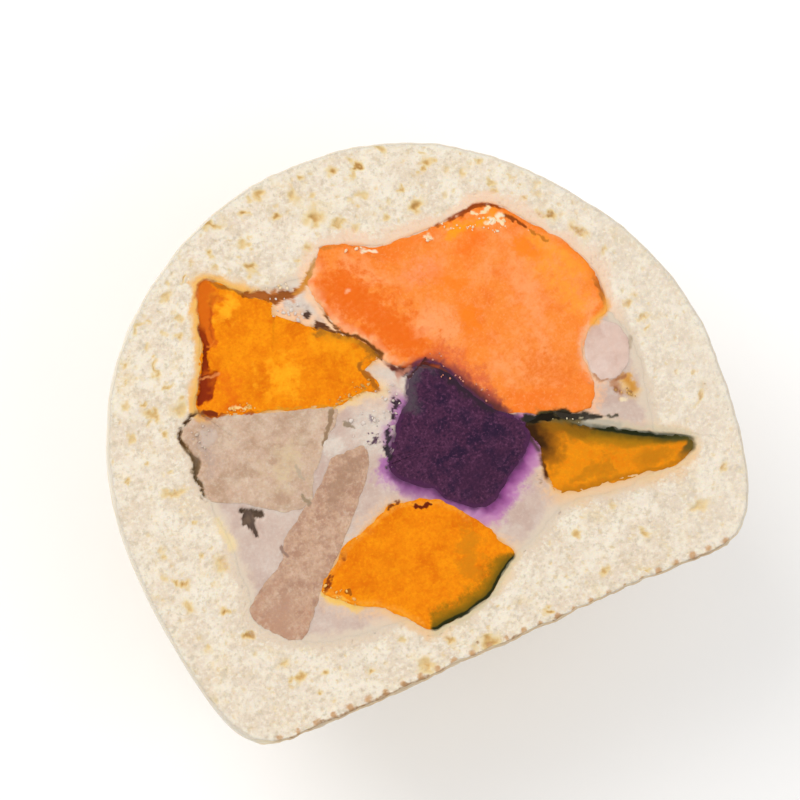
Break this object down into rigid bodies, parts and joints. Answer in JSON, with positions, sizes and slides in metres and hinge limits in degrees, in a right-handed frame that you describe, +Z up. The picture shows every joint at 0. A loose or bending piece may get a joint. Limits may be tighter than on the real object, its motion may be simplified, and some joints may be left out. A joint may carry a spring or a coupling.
{
  "type": "multigrain mantou half",
  "caption": "Half of a round steamed multigrain bun, cut through its axis, with a filling of taro mash and chunks of sweet potato, pumpkin, taro and yam showing at the cut.",
  "frame": {"origin": "on the surface that the part lies on, under the middle of its bounding box", "axes": "+Z up, out of the cut face; +Y along the bun's own axis, from its flat base to its top; +X across the cut face, to the right when the cut face is seen from above with the bun's top upwards"},
  "size_m": [0.0894, 0.0738, 0.0432],
  "materials": {
    "bread": "matte cream crumb with open pores, inside a thin satin skin with tan bran flecks",
    "taro_mash": "smooth pasty mash, pale pinkish grey, slightly moist",
    "sweet_potato": "moist orange flesh, mottled, deeper at its edges",
    "purple_sweet_potato": "dry mealy aubergine flesh with a violet edge",
    "pumpkin": "moist yellow-orange flesh with a dark green rind on some edges",
    "taro": "dense grey-beige flesh with fine fibres",
    "yam": "smooth pale waxy flesh"
  },
  "bodies": {
    "root": {"bread": "bread", "taro_mash": "taro_mash", "sweet_potato": "sweet_potato", "purple_sweet_potato": "purple_sweet_potato", "pumpkin_wedge": "pumpkin", "pumpkin_slice": "pumpkin", "pumpkin_block": "pumpkin", "taro_block": "taro", "taro_stick": "taro", "yam_disc": "yam"}
  },
  "joints": []
}
